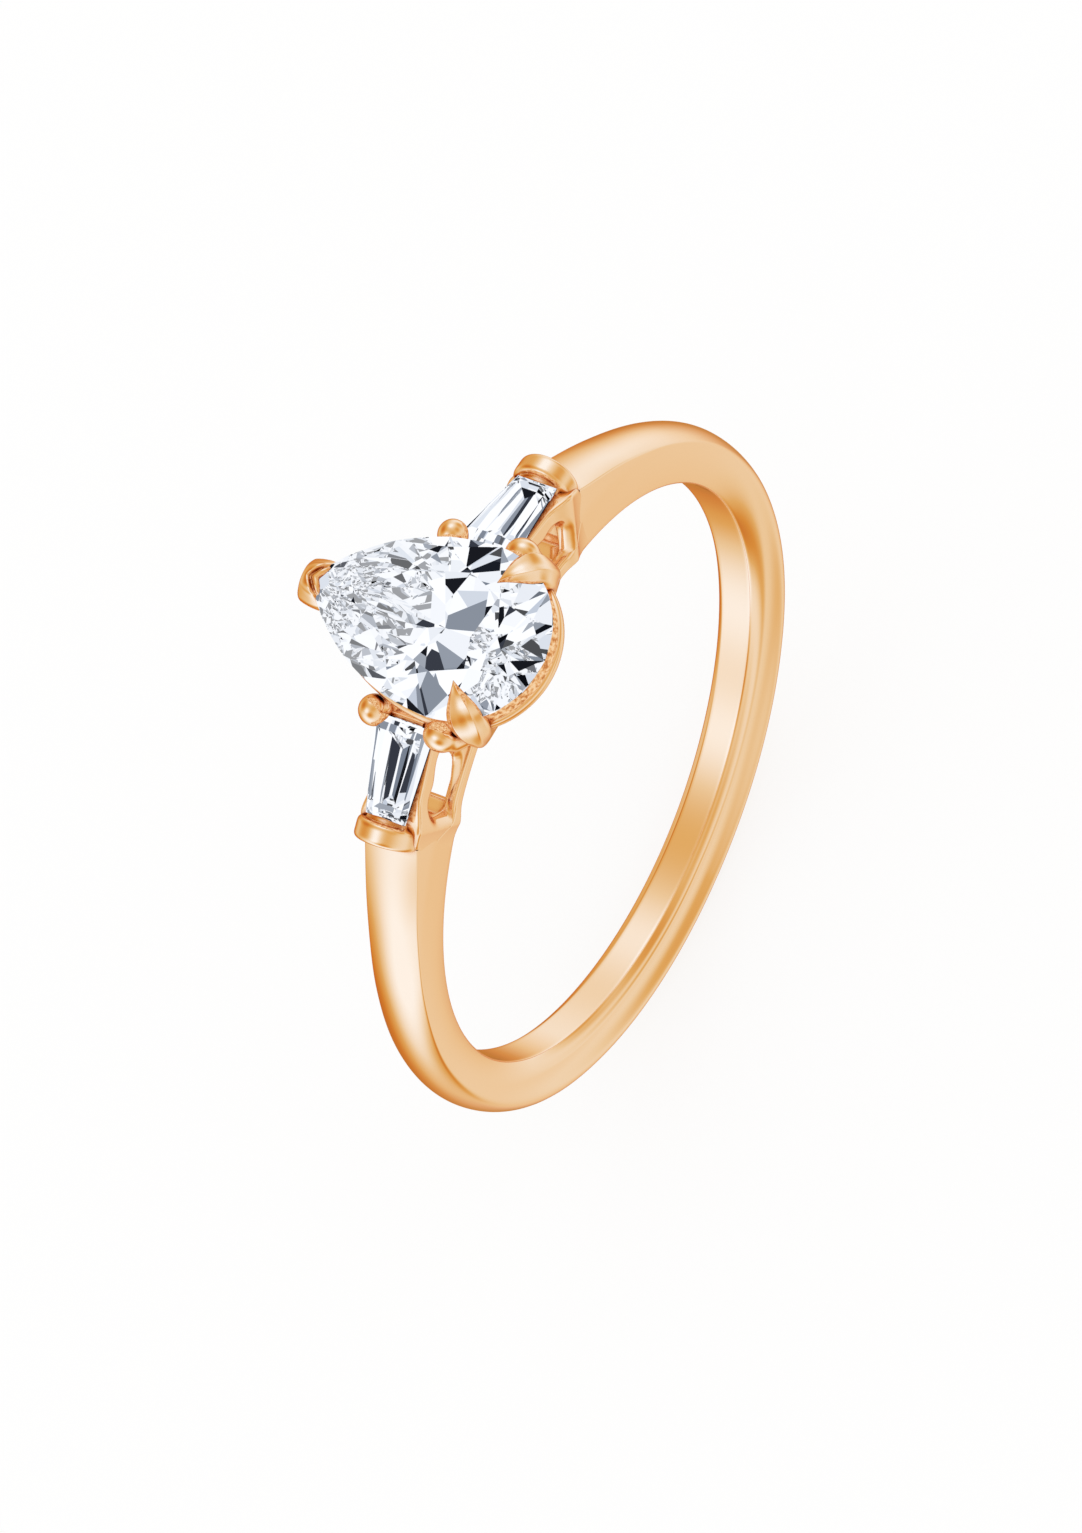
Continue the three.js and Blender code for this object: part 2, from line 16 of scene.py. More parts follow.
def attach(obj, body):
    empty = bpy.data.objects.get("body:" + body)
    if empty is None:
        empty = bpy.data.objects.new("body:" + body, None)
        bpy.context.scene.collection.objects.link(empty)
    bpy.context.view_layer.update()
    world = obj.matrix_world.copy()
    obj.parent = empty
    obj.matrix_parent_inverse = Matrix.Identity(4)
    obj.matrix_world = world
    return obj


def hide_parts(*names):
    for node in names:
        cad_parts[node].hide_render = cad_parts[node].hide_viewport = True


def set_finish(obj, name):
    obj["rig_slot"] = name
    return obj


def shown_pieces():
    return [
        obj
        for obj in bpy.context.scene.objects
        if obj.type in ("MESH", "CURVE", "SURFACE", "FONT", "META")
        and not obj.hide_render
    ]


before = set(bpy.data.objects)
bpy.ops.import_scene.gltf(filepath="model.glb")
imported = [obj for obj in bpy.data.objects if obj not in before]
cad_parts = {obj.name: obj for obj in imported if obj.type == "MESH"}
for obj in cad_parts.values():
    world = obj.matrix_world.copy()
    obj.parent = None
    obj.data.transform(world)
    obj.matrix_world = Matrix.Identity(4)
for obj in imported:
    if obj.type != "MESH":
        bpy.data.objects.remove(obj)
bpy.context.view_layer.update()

MM = 0.001
HOLE_CENTRE_Z = 10.22  # height of the finger hole's centre, mm
FINGER_RADIUS = 8.5
SHARP_DEG = 38

# ---- Meshes ----


def new_object(name, vertices, faces, smooth=True):
    """An object from points in mm about the finger hole's centre."""
    points = (np.asarray(vertices, float) + (0, 0, HOLE_CENTRE_Z)) * MM
    mesh = bpy.data.meshes.new(name)
    mesh.from_pydata([tuple(p) for p in points], [], [tuple(f) for f in faces])
    mesh.update()
    bm = bmesh.new()
    bm.from_mesh(mesh)
    bmesh.ops.recalc_face_normals(bm, faces=bm.faces)
    bm.to_mesh(mesh)
    bm.free()
    mesh.polygons.foreach_set("use_smooth", [smooth] * len(mesh.polygons))
    if smooth:
        mesh.set_sharp_from_angle(angle=math.radians(SHARP_DEG))
    obj = bpy.data.objects.new(name, mesh)
    bpy.context.scene.collection.objects.link(obj)
    return obj


def finish_piece(obj, slot, *nodes):
    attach(obj, "root")
    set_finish(obj, slot)
    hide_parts(*nodes)
    return obj


def loft_mesh(rings, closed=False):
    """Vertices and faces through rings of equally many points. Open lofts get end caps."""
    rings = [np.asarray(r, float) for r in rings]
    count = len(rings[0])
    vertices = np.concatenate(rings)
    faces = []
    spans = len(rings) if closed else len(rings) - 1
    for r in range(spans):
        a0 = r * count
        b0 = ((r + 1) % len(rings)) * count
        for i in range(count):
            j = (i + 1) % count
            faces.append((a0 + i, a0 + j, b0 + j, b0 + i))
    if not closed:
        for start in (0, (len(rings) - 1) * count):
            centre = len(vertices)
            vertices = np.vstack([vertices, vertices[start:start + count].mean(0)])
            faces += [(start + i, start + (i + 1) % count, centre) for i in range(count)]
    return vertices, faces


def smooth_table(table, x, column):
    """A cubic Hermite curve through one column of a table whose first column is x."""
    t = np.asarray(table, float)
    xs, ys = t[:, 0], t[:, column]
    slopes = np.gradient(ys, xs)
    i = np.clip(np.searchsorted(xs, x) - 1, 0, len(xs) - 2)
    h = xs[i + 1] - xs[i]
    u = (x - xs[i]) / h
    return (
        ys[i] * (1 + 2 * u) * (1 - u) ** 2
        + ys[i + 1] * u * u * (3 - 2 * u)
        + slopes[i] * h * u * (1 - u) ** 2
        - slopes[i + 1] * h * u * u * (1 - u)
    )


def rounded_corners(corners, radii, steps=5):
    """A closed outline with each corner swapped for a smooth bend that starts `radius` away."""
    corners = [np.asarray(c, float) for c in corners]
    outline = []
    for i, corner in enumerate(corners):
        before = corners[i - 1] - corner
        after = corners[(i + 1) % len(corners)] - corner
        reach_a = min(radii[i], 0.49 * np.linalg.norm(before))
        reach_b = min(radii[i], 0.49 * np.linalg.norm(after))
        a = corner + before / np.linalg.norm(before) * reach_a
        b = corner + after / np.linalg.norm(after) * reach_b
        for k in range(steps + 1):
            t = k / steps
            outline.append((1 - t) ** 2 * a + 2 * t * (1 - t) * corner + t * t * b)
    return np.array(outline)


# ---- Signed distance fields ----

VOXEL = 0.03


def smooth_max(a, b, k):
    h = np.clip(0.5 + 0.5 * (a - b) / k, 0, 1)
    return b + (a - b) * h + k * h * (1 - h)


def smooth_min(a, b, k):
    return -smooth_max(-a, -b, k)


def polygon_distance(x, z, corners):
    """Signed distance to a closed polygon, negative inside."""
    corners = np.asarray(corners, float)
    x, z = np.broadcast_arrays(x, z)
    nearest = np.full(x.shape, 1e9)
    inside = np.zeros(x.shape, bool)
    for (ax, az), (bx, bz) in zip(corners, np.roll(corners, -1, 0)):
        ex, ez = bx - ax, bz - az
        px, pz = x - ax, z - az
        t = np.clip((px * ex + pz * ez) / (ex * ex + ez * ez), 0, 1)
        nearest = np.minimum(nearest, (px - ex * t) ** 2 + (pz - ez * t) ** 2)
        crosses = (az > z) != (bz > z)
        with np.errstate(divide="ignore", invalid="ignore"):
            at = ax + (z - az) * ex / np.where(ez == 0, 1e-12, ez)
        inside ^= crosses & (x < at)
    return np.sqrt(nearest) * np.where(inside, -1, 1)


def segment_distance(p, a, b, radius_a, radius_b):
    """Signed distance to a round bar from a to b whose radius changes evenly."""
    a, b = np.asarray(a, float), np.asarray(b, float)
    e = b - a
    q = [p[i] - a[i] for i in range(3)]
    t = np.clip(sum(q[i] * e[i] for i in range(3)) / (e @ e), 0, 1)
    d = np.sqrt(sum((q[i] - e[i] * t) ** 2 for i in range(3)))
    return d - (radius_a + (radius_b - radius_a) * t)


def ellipsoid_distance(p, centre, radii):
    k0 = np.sqrt(sum(((p[i] - centre[i]) / radii[i]) ** 2 for i in range(3)))
    k1 = np.sqrt(sum(((p[i] - centre[i]) / radii[i] ** 2) ** 2 for i in range(3)))
    return k0 * (k0 - 1) / np.maximum(k1, 1e-9)


def field_mesh(field, low, high, voxel=VOXEL, relax=2):
    """Vertices and faces of the surface where field(x, y, z) is zero."""
    axes = [np.arange(low[i], high[i] + voxel, voxel) for i in range(3)]
    p = np.meshgrid(*axes, indexing="ij", sparse=True)
    values = np.ascontiguousarray(np.broadcast_to(field(p), [len(a) for a in axes]), np.float32)
    grid = openvdb.FloatGrid(background=3 * voxel)
    grid.copyFromArray(np.clip(values, -3 * voxel, 3 * voxel))
    points, quads = grid.convertToQuads()
    vertices = points.astype(float) * voxel + [a[0] for a in axes]
    faces = quads.astype(int)
    for _ in range(relax):
        total = np.zeros_like(vertices)
        count = np.zeros(len(vertices))
        for i in range(4):
            for j in (1, 3):
                np.add.at(total, faces[:, i], vertices[faces[:, (i + j) % 4]])
                np.add.at(count, faces[:, i], 1)
        vertices = 0.5 * vertices + 0.5 * total / np.maximum(count, 1)[:, None]
    return vertices, faces


def mirror_mesh(vertices, faces):
    return vertices * (-1, 1, 1), faces


def add_sides(name, mesh, slot, *nodes):
    """The +X piece and its mirror image, with their places in the names."""
    made = []
    for side, shape in (("right", mesh), ("left", mirror_mesh(*mesh))):
        obj = new_object(f"{name}_{side}_look", *shape)
        finish_piece(obj, slot, *[f"{n}_{side}" for n in nodes])
        made.append(obj)
    return made


# ---- Shank ----

# Angle from the head, middle, half width and radius of the ridges, rise of the crown between them,
# and how far from a ridge its rounding starts on the flank and on the crown.
BAND = [
    (26.0, -0.07, 0.84, 11.25, 0.08, 0.05, 0.05),
    (30.5, -0.07, 0.84, 10.92, 0.12, 0.05, 0.05),
    (45, -0.06, 0.80, 10.23, 0.21, 0.06, 0.06),
    (60, -0.04, 0.80, 9.88, 0.29, 0.07, 0.08),
    (80, 0.0, 0.84, 9.69, 0.35, 0.14, 0.18),
    (100, 0.0, 0.99, 9.60, 0.48, 0.42, 0.45),
    (120, 0.0, 1.04, 9.55, 0.64, 0.62, 0.6),
    (140, 0.0, 1.04, 9.51, 0.70, 0.7, 0.65),
    (180, 0.0, 1.02, 9.47, 0.75, 0.75, 0.7),
]
BORE_HALF_WIDTH = 0.60
BORE_HALF_SWING = 0.12
BORE_EDGE_ROUND = 0.09
FLANK_SWELL = 0.04  # how far the flanks bulge away from the head
BAND_END_DEG = 29.3
BAND_END_RADIUS = 10.86
BAND_END_LEAN = 0.95  # degrees that the band's end face leans inward for each mm down
BAND_END_REACH = 12  # degrees over which the lean fades out


def bore_half(deg):
    return BORE_HALF_WIDTH + BORE_HALF_SWING * np.cos(np.radians(deg))


def bezier(a, b, c, d, steps):
    t = np.linspace(0, 1, steps)[:, None]
    return (1 - t) ** 3 * a + 3 * t * (1 - t) ** 2 * b + 3 * t * t * (1 - t) * c + t ** 3 * d


def half_profile(deg):
    """The +Y half of the band's section, from the middle of the bore out to the crown's middle,
    as points (distance from the finger axis, y measured from the section's middle)."""
    _, half, ridge, crown, on_flank, on_crown = [smooth_table(BAND, deg, c) for c in range(1, 7)]
    bore = bore_half(deg)
    radius = (half * half + crown * crown) / (2 * crown)
    edge = math.asin(half / radius)

    def on_arc(angle):
        return np.array([ridge + crown - radius + radius * math.cos(angle), radius * math.sin(angle)])

    foot = np.array([FINGER_RADIUS, bore])
    top = np.array([ridge, half])
    flank = (top - foot) / np.linalg.norm(top - foot)
    r = BORE_EDGE_ROUND
    start = foot + flank * r
    leave = top - flank * min(on_flank, 0.8 * np.linalg.norm(top - foot) - r)
    outward = np.array([-flank[1], flank[0]])
    swell = FLANK_SWELL * min(max((deg - 34) / 40, 0), 1)
    steer = 4 * swell / np.linalg.norm(leave - start) * outward
    bend = edge - min(on_crown / radius, 0.85 * edge)
    meet = on_arc(bend)
    tangent = np.array([-math.sin(bend), math.cos(bend)])
    reach = 0.55 * np.linalg.norm(meet - leave)
    parts = [
        np.linspace(np.array([FINGER_RADIUS, 0.0]), foot - (0, r), 7),
        bezier(foot - (0, r), foot - (0, 0.4 * r), start - (flank + steer) * 0.6 * r, start, 7)[1:],
        np.array([start + (leave - start) * t + outward * swell * 4 * t * (1 - t) for t in np.linspace(0, 1, 12)])[1:],
        bezier(leave, leave + (flank - steer) * reach, meet + tangent * reach, meet, 13)[1:],
        np.array([on_arc(a) for a in np.linspace(bend, 0, 14)])[1:],
    ]
    return np.concatenate(parts)


def band_ring(deg):
    from_head = min(deg, 360 - deg)
    section = half_profile(from_head)
    middle = smooth_table(BAND, from_head, 1)
    other = section[-2:0:-1] * (1, -1)
    lean = BAND_END_LEAN * max(1 - (from_head - BAND_END_DEG) / BAND_END_REACH, 0) ** 2
    ring = []
    for r, y in np.concatenate([section, other]):
        a = math.radians(from_head - lean * (BAND_END_RADIUS - r))
        x = math.copysign(r * math.sin(a), 180 - deg)
        ring.append((x, y + middle * min((r - FINGER_RADIUS) / 1.5, 1), r * math.cos(a)))
    return ring


def build_shank():
    degs = np.linspace(BAND_END_DEG, 360 - BAND_END_DEG, 361)
    shank = new_object("shank_look", *loft_mesh([band_ring(d) for d in degs]))
    return finish_piece(shank, "gold", "shank")


# ---- Pear outline ----

PEAR_RADIUS = 2.5
WING_RADIUS = 5.88
PEAR_CENTRE_Y = -1.14
WING_CENTRE_X = WING_RADIUS - PEAR_RADIUS


def pear_outline(offset, steps=48):
    """Points of the pear outline pushed out by `offset`, anticlockwise from -X."""
    wing = WING_RADIUS + offset
    tip = math.acos(WING_CENTRE_X / wing)
    arcs = [
        (0, PEAR_RADIUS + offset, np.linspace(math.pi, 2 * math.pi, steps, endpoint=False)),
        (-WING_CENTRE_X, wing, np.linspace(0, tip, steps, endpoint=False)),
        (WING_CENTRE_X, wing, np.linspace(math.pi - tip, math.pi, steps, endpoint=False)),
    ]
    return np.concatenate([
        np.column_stack([cx + r * np.cos(a), PEAR_CENTRE_Y + r * np.sin(a)]) for cx, r, a in arcs
    ])


def rail_mesh(offset, width, bottom, height, round_by):
    """A rail with rounded edges that follows the pear outline."""
    box = rounded_corners(
        [(-width, 0), (0, 0), (0, height), (-width, height)], [round_by] * 4, steps=4
    )
    outlines = [pear_outline(offset + across) for across, _ in box]
    rings = []
    for i in range(len(outlines[0])):
        rings.append([(*outlines[k][i], bottom + box[k][1]) for k in range(len(box))])
    return loft_mesh(rings, closed=True)


def build_rails():
    upper = new_object("gallery_rail_look", *rail_mesh(0.03, 0.5, 12.07, 0.33, 0.12))
    finish_piece(upper, "gold", "gallery_rail")
    base = new_object("base_rail_look", *rail_mesh(-1.5, 0.26, 9.12, 0.3, 0.08))
    finish_piece(base, "gold", "base_rail")


# ---- Leaf claws ----

CLAW_TIP = np.array([1.48, -1.75])
CLAW_DEG = -34

# Along a claw from its point: distance out, height of the back's middle, lean of the back from
# level, half width of the back, half width of the body, thickness, and how far the back is hollowed.
CLAW = [
    (0.0, -0.05, 13.64, -4, 0.004, 0.012, 0.03, 0.0),
    (0.5, 0.08, 13.67, -2, 0.03, 0.08, 0.14, 0.0),
    (1.0, 0.24, 13.70, 0, 0.075, 0.18, 0.3, 0.01),
    (2.0, 0.52, 13.69, 10, 0.16, 0.34, 0.5, 0.03),
    (3.0, 0.82, 13.58, 28, 0.25, 0.46, 0.62, 0.04),
    (4.0, 1.1, 13.36, 50, 0.29, 0.52, 0.7, 0.04),
    (5.0, 1.3, 12.98, 74, 0.27, 0.55, 0.74, 0.0),
    (6.0, 1.38, 12.52, 92, 0.2, 0.54, 0.74, -0.03),
    (7.0, 1.33, 12.08, 106, 0.13, 0.46, 0.64, -0.06),
    (8.0, 1.1, 11.6, 118, 0.1, 0.35, 0.46, -0.05),
    (9.0, 0.4, 10.6, 122, 0.08, 0.25, 0.36, -0.04),
    (10.0, -0.45, 9.45, 124, 0.08, 0.22, 0.32, -0.04),
]


def claw_section(back, body, thick, hollow, crisp):
    """The claw's section: (across, depth) points, with two crisp ridges beside a hollowed back."""
    corners = [
        (back, 0.0),
        (0.0, hollow),
        (-back, 0.0),
        (-0.75 * back - 0.25 * body, 0.16 * thick),
        (-body, 0.5 * thick),
        (-0.7 * body, thick),
        (0.7 * body, thick),
        (body, 0.5 * thick),
        (0.75 * back + 0.25 * body, 0.16 * thick),
    ]
    soft = 0.4 * body
    radii = [crisp, soft, crisp, soft, soft, soft, soft, soft, soft]
    return rounded_corners(corners, radii, steps=6)


def build_claws():
    outwards = np.array([math.cos(math.radians(CLAW_DEG)), math.sin(math.radians(CLAW_DEG)), 0])
    sideways = np.array([-outwards[1], outwards[0], 0])
    up = np.array([0, 0, 1.0])
    rings = []
    for u in np.linspace(0, 10, 101):
        out, z, lean, back, body, thick, hollow = [smooth_table(CLAW, u, c) for c in range(1, 8)]
        a = math.radians(lean)
        normal = up * math.cos(a) + outwards * math.sin(a)
        origin = np.array([*CLAW_TIP, z]) + outwards * out
        crisp = min(0.012 + 0.02 * max(u - 4, 0), 0.3 * back + 0.003)
        section = claw_section(back, body, thick, hollow, crisp)
        rings.append([origin + sideways * x - normal * d for x, d in section])
    add_sides("claw", loft_mesh(rings), "gold", "claw")


# ---- V claw ----


def wing_distances(x, y):
    """Distance outside each of the two big arcs of the pear outline."""
    right = np.hypot(x + WING_CENTRE_X, y - PEAR_CENTRE_Y) - WING_RADIUS
    left = np.hypot(x - WING_CENTRE_X, y - PEAR_CENTRE_Y) - WING_RADIUS
    return right, left


def build_tip_claw():
    """Two arms that follow the stone's edges from its point, with a groove between rim and lip."""
    grip = 0.26  # reach over the stone
    arms_end = 3.08

    def field(p):
        x, y, z = p
        right, left = wing_distances(x, y)
        beyond = np.maximum(right, left)
        along = np.clip((3.9 - y) / 0.9, 0, 1)
        rim = smooth_max(right, left, 1.4) - (0.56 - 0.38 * along)
        reach = 0.52 + 0.5 * np.clip(13.15 - z, 0, 0.35)
        groove = 0.18 * np.exp(-((beyond + 0.05) / 0.055) ** 2)
        fall = 0.35 * np.maximum(-0.12 - beyond, 0)
        crest = 13.46 - 0.1 * along - 0.5 * np.maximum(beyond, 0) ** 2 - groove - fall
        body = smooth_max(rim + 0.35 * (z - 13.1), z - crest, 0.28)
        body = smooth_max(smooth_max(body, arms_end - y, 0.3), np.abs(x) - reach, 0.3)
        cap = smooth_max(smooth_max(body, -(beyond + grip), 0.04), 12.5 - z - 0.2 * along, 0.15)
        stem = segment_distance(p, (0, 3.45, 12.75), (0, 1.5, 9.4), 0.36, 0.24)
        return smooth_min(cap, stem, 0.12)

    claw = new_object("tip_claw_look", *field_mesh(field, (-1.1, 1.1, 9.0), (1.1, 4.1, 13.6)))
    finish_piece(claw, "gold", "tip_claw")


# ---- Beads ----


def build_beads():
    def front(p):
        ball = ellipsoid_distance(p, (2.72, -1.36, 12.15), (0.42, 0.48, 0.46))
        stem = segment_distance(p, (2.6, -1.25, 12.0), (2.45, -0.8, 11.0), 0.38, 0.22)
        lobe = segment_distance(p, (2.6, -1.62, 11.9), (2.1, -2.0, 11.7), 0.36, 0.34)
        return smooth_min(smooth_min(ball, stem, 0.2), lobe, 0.08)

    def rear(p):
        ball = ellipsoid_distance(p, (2.62, 0.88, 11.95), (0.42, 0.4, 0.46))
        stem = segment_distance(p, (2.55, 0.85, 11.8), (2.4, 0.7, 11.0), 0.34, 0.2)
        return smooth_min(ball, stem, 0.25)

    add_sides("bead_front", field_mesh(front, (1.5, -2.6, 10.6), (3.4, -0.4, 12.9)), "gold", "bead_front")
    add_sides("bead_rear", field_mesh(rear, (1.9, 0.3, 10.6), (3.3, 1.6, 12.8)), "gold", "bead_rear")


# ---- Side settings ----


def polar(radius, deg):
    return radius * math.sin(math.radians(deg)), radius * math.cos(math.radians(deg))


def flank_y(x, z, side):
    """Where the band's flank, carried on into the head, stands at (x, z)."""
    rho = np.sqrt(x * x + z * z)
    bore = bore_half(BAND_END_DEG)
    top = smooth_table(BAND, BAND_END_DEG, 2) + side * smooth_table(BAND, BAND_END_DEG, 1)
    ridge = smooth_table(BAND, BAND_END_DEG, 3)
    return bore + (top - bore) * (rho - FINGER_RADIUS) / (ridge - FINGER_RADIUS)


WINDOW = [
    (2.55, 9.15), (2.62, 10.1), (2.78, 10.5), (3.05, 10.45), (3.53, 9.98), (3.84, 9.92), (4.16, 9.78),
    (4.28, 9.63), (4.34, 9.41), (4.34, 9.16), (4.2, 8.85), (4.04, 8.53), (3.86, 8.25), (3.3, 8.5),
]
FRAME_OUTLINE = [
    polar(8.95, 40), polar(9.9, 40), polar(10.45, 34), polar(10.72, 30.5), (5.42, 9.75), (5.02, 10.2), (2.5, 11.62),
    (2.1, 11.5), polar(8.95, 13.2),
]
FRAME_ROUNDING = [0.01, 0.1, 0.3, 0.2, 0.15, 0.2, 0.2, 0.1, 0.1]
BRIDGE_OUTLINE_TOP = [
    (40, 9.3), (31, 9.9), (29.2, 9.9), (28.2, 9.6), (26.8, 9.22), (25, 9.08), (20, 9.06), (0, 9.05),
]


def plate_field(region, side, inner, inset, rim):
    """An upright plate whose outer face follows the band's flank."""

    def field(p):
        x, y, z = p
        plan, opening = region(x, z)
        reach = side * y
        outer = reach - (flank_y(x, z, side) - inset(x, z))
        face = smooth_max(plan, outer, rim)
        if opening is not None:
            bevel = (outer + WINDOW_BEVEL - opening) * math.sqrt(0.5)
            face = smooth_max(smooth_max(face, -opening, 0.03), bevel, 0.08)
        return smooth_max(face, inner - reach, 0.05)

    return field


WINDOW_BEVEL = 0.2
PANEL_BORDER_DEG = 27.6  # where the panel's soft border meets the bore
PANEL_BORDER_LEAN = 0.35  # degrees that the border swings to the head for each mm up
PANEL_PROUD = 0.1
PANEL_SUNK = 0.03
PANEL_DISH = 0.07
PANEL_FILLET_DEG = 2.4


def frame_region(x, z):
    outline = polygon_distance(x, z, rounded_corners(FRAME_OUTLINE, FRAME_ROUNDING))
    return outline, polygon_distance(x, z, rounded_corners(WINDOW, [0.3] * len(WINDOW), steps=4))


def bridge_region(x, z):
    rho = np.sqrt(x * x + z * z)
    deg = np.degrees(np.arctan2(np.abs(x), z))
    table = np.array(BRIDGE_OUTLINE_TOP[::-1])
    top = np.interp(deg, table[:, 0], table[:, 1])
    slope = 0.75
    band = smooth_max((rho - top) * slope, 8.53 - rho, 0.05)
    return smooth_max(band, (deg - 40) * 0.15, 0.02), None


def past_border(x, z):
    """Degrees from the panel's border: negative towards the head, positive along the band."""
    rho = np.sqrt(x * x + z * z)
    border = PANEL_BORDER_DEG - PANEL_BORDER_LEAN * (rho - FINGER_RADIUS)
    return np.degrees(np.arctan2(np.abs(x), z)) - border


def border_fillet(past):
    """How deep a face lies beyond the border: it sinks from proud of the flank to just under it."""
    return PANEL_SUNK - (PANEL_PROUD + PANEL_SUNK) * np.exp(-np.maximum(past, 0) / PANEL_FILLET_DEG)


def frame_inset(x, z):
    """The panel dishes in from its border towards the head."""
    past = past_border(x, z)
    dish = np.clip(-past / 5, 0, 1)
    return border_fillet(past) + (PANEL_PROUD + PANEL_DISH) * dish * dish * (3 - 2 * dish)


def bridge_inset(x, z):
    past = past_border(x, z)
    level = PANEL_PROUD * (1 - np.exp(-(np.minimum(past, 0) / 2.5) ** 2))
    return border_fillet(past) + level - 0.012


def build_side_frames():
    for name, side in (("side_frame_front", -1), ("side_frame_rear", 1)):
        field = plate_field(frame_region, side, 0.46, frame_inset, 0.12)
        low = (1.8, min(side * 0.4, side * 1.2), 6.6)
        high = (7.0, max(side * 0.4, side * 1.2), 11.9)
        add_sides(name, field_mesh(field, low, high), "gold", name)


def build_bridges():
    for name, side in (("bridge_front", -1), ("bridge_rear", 1)):
        field = plate_field(bridge_region, side, 0.4, bridge_inset, 0.12)
        low = (-6.9, min(side * 0.3, side * 1.2), 6.3)
        high = (6.9, max(side * 0.3, side * 1.2), 9.9)
        bridge = new_object(name + "_look", *field_mesh(field, low, high))
        finish_piece(bridge, "gold", name)


# The end bar's slabs, from the stone outwards: middle and half of the thickness, radius of the
# half moon, height of its crest, and rounding of its edges.
BAR_SLABS = [
    (-0.22, 0.13, 0.7, 0.22, 0.05),
    (0.14, 0.31, 0.9, 0.46, 0.17),
]
BAR_FOOT = (5.28, 10.22)
BAR_LEAN_DEG = 21.2
BAR_MIDDLE_Y = 0.03
FLOOR_OUTLINE = [
    polar(8.53, 31), polar(10.5, 31), (5.4, 9.8), (5.2, 10.3), (4.9, 10.25), (4.45, 9.1), polar(9.1, 26.5),
    polar(8.9, 23.8), polar(8.53, 23.8),
]


def build_end_bars():
    """An arched bar over the stone's outer end, and the web between the frames under it."""
    lean = math.radians(BAR_LEAN_DEG)

    def field(p):
        x, y, z = p
        dx, dz = x - BAR_FOOT[0], z - BAR_FOOT[1]
        rise = dx * math.sin(lean) + dz * math.cos(lean)
        across = dx * math.cos(lean) - dz * math.sin(lean)
        sideways = y - BAR_MIDDLE_Y
        solid = None
        for middle, half, radius, crest, rounding in BAR_SLABS:
            above = np.maximum(rise - (crest - radius), 0)
            moon = np.sqrt(sideways ** 2 + above ** 2) - radius
            slab = smooth_max(moon, np.abs(across - middle) - half, rounding)
            slab = smooth_max(slab, -0.6 - rise, 0.12)
            solid = slab if solid is None else smooth_min(solid, slab, 0.03)
        outline = rounded_corners(FLOOR_OUTLINE, [0.05] * len(FLOOR_OUTLINE), steps=3)
        web = smooth_max(polygon_distance(x, z, outline), np.abs(y + 0.04) - 0.6, 0.08)
        return smooth_min(solid, web, 0.08)

    add_sides("end_bar", field_mesh(field, (3.2, -1.15, 7.1), (6.2, 1.15, 11.0)), "gold", "end_bar")


def build_cross_bars():
    slope = math.atan2(1.34, 2.45)
    section = rounded_corners([(-0.06, -0.8), (0.26, -0.8), (0.26, -0.2), (-0.06, -0.2)], [0.06] * 4)
    rings = []
    for y in (-0.5, 0.5):
        ring = []
        for u, w in section:
            x = 2.6 + u * math.cos(slope) + w * math.sin(slope)
            z = 11.83 - u * math.sin(slope) + w * math.cos(slope)
            ring.append((x, y, z))
        rings.append(ring)
    add_sides("cross_bar", loft_mesh(rings), "gold", "cross_bar")


# ---- Stones ----


def ground_stone(name, box_low, box_high, planes, move=None):
    """A stone with flat facets: a box with the outside of each plane (point, normal) ground off."""
    bm = bmesh.new()
    bmesh.ops.create_cube(bm, size=1)
    low, high = np.array(box_low), np.array(box_high)
    for v in bm.verts:
        v.co = Vector(low + (np.array(v.co) + 0.5) * (high - low))
    for point, normal in planes:
        cut = bmesh.ops.bisect_plane(
            bm, geom=bm.verts[:] + bm.edges[:] + bm.faces[:], dist=1e-6,
            plane_co=point, plane_no=normal, clear_outer=True,
        )
        edges = [e for e in cut["geom_cut"] if isinstance(e, bmesh.types.BMEdge) and e.is_boundary]
        if edges:
            bmesh.ops.contextual_create(bm, geom=edges)
    bmesh.ops.remove_doubles(bm, verts=bm.verts, dist=1e-5)
    if move is not None:
        bm.transform(move)
    vertices = [tuple(v.co) for v in bm.verts]
    bm.verts.index_update()
    faces = [[v.index for v in f.verts] for f in bm.faces]
    bm.free()
    return vertices, faces


GIRDLE_TOP = 13.09
GIRDLE_BOTTOM = 13.01
TABLE_Z = 13.75
CULET_Z = 10.85
MAIN_DEG = [-90, -45, 0, 30, 90, 150, 180, 225]
MIDDLE_DEG = [-67.5, -22.5, 15, 43, 137, 165, 202.5, 247.5]
PAVILION_DEG = [41, 41, 40.5, 39.5, 37, 39.5, 40.5, 41]


def girdle_point(deg, z):
    if deg == 90:
        tip = PEAR_CENTRE_Y + math.sqrt(WING_RADIUS ** 2 - WING_CENTRE_X ** 2)
        return np.array([0, tip, z])
    a = math.radians(deg)
    direction = np.array([math.cos(a), math.sin(a), 0])
    on_wing = 0 < deg < 180
    radius = WING_RADIUS if on_wing else PEAR_RADIUS
    centre_x = -math.copysign(WING_CENTRE_X, direction[0]) if on_wing else 0
    return np.array([centre_x, PEAR_CENTRE_Y, z]) + direction * radius


def plane_through(a, b, c, inside):
    n = np.cross(b - a, c - a)
    n /= np.linalg.norm(n)
    if (inside - a) @ n > 0:
        n = -n
    return a, n


def meet_at(first, second, z):
    (p, n), (q, m) = first, second
    lhs = np.array([n[:2], m[:2]])
    rhs = np.array([p @ n - n[2] * z, q @ m - m[2] * z])
    return np.array([*np.linalg.solve(lhs, rhs), z])


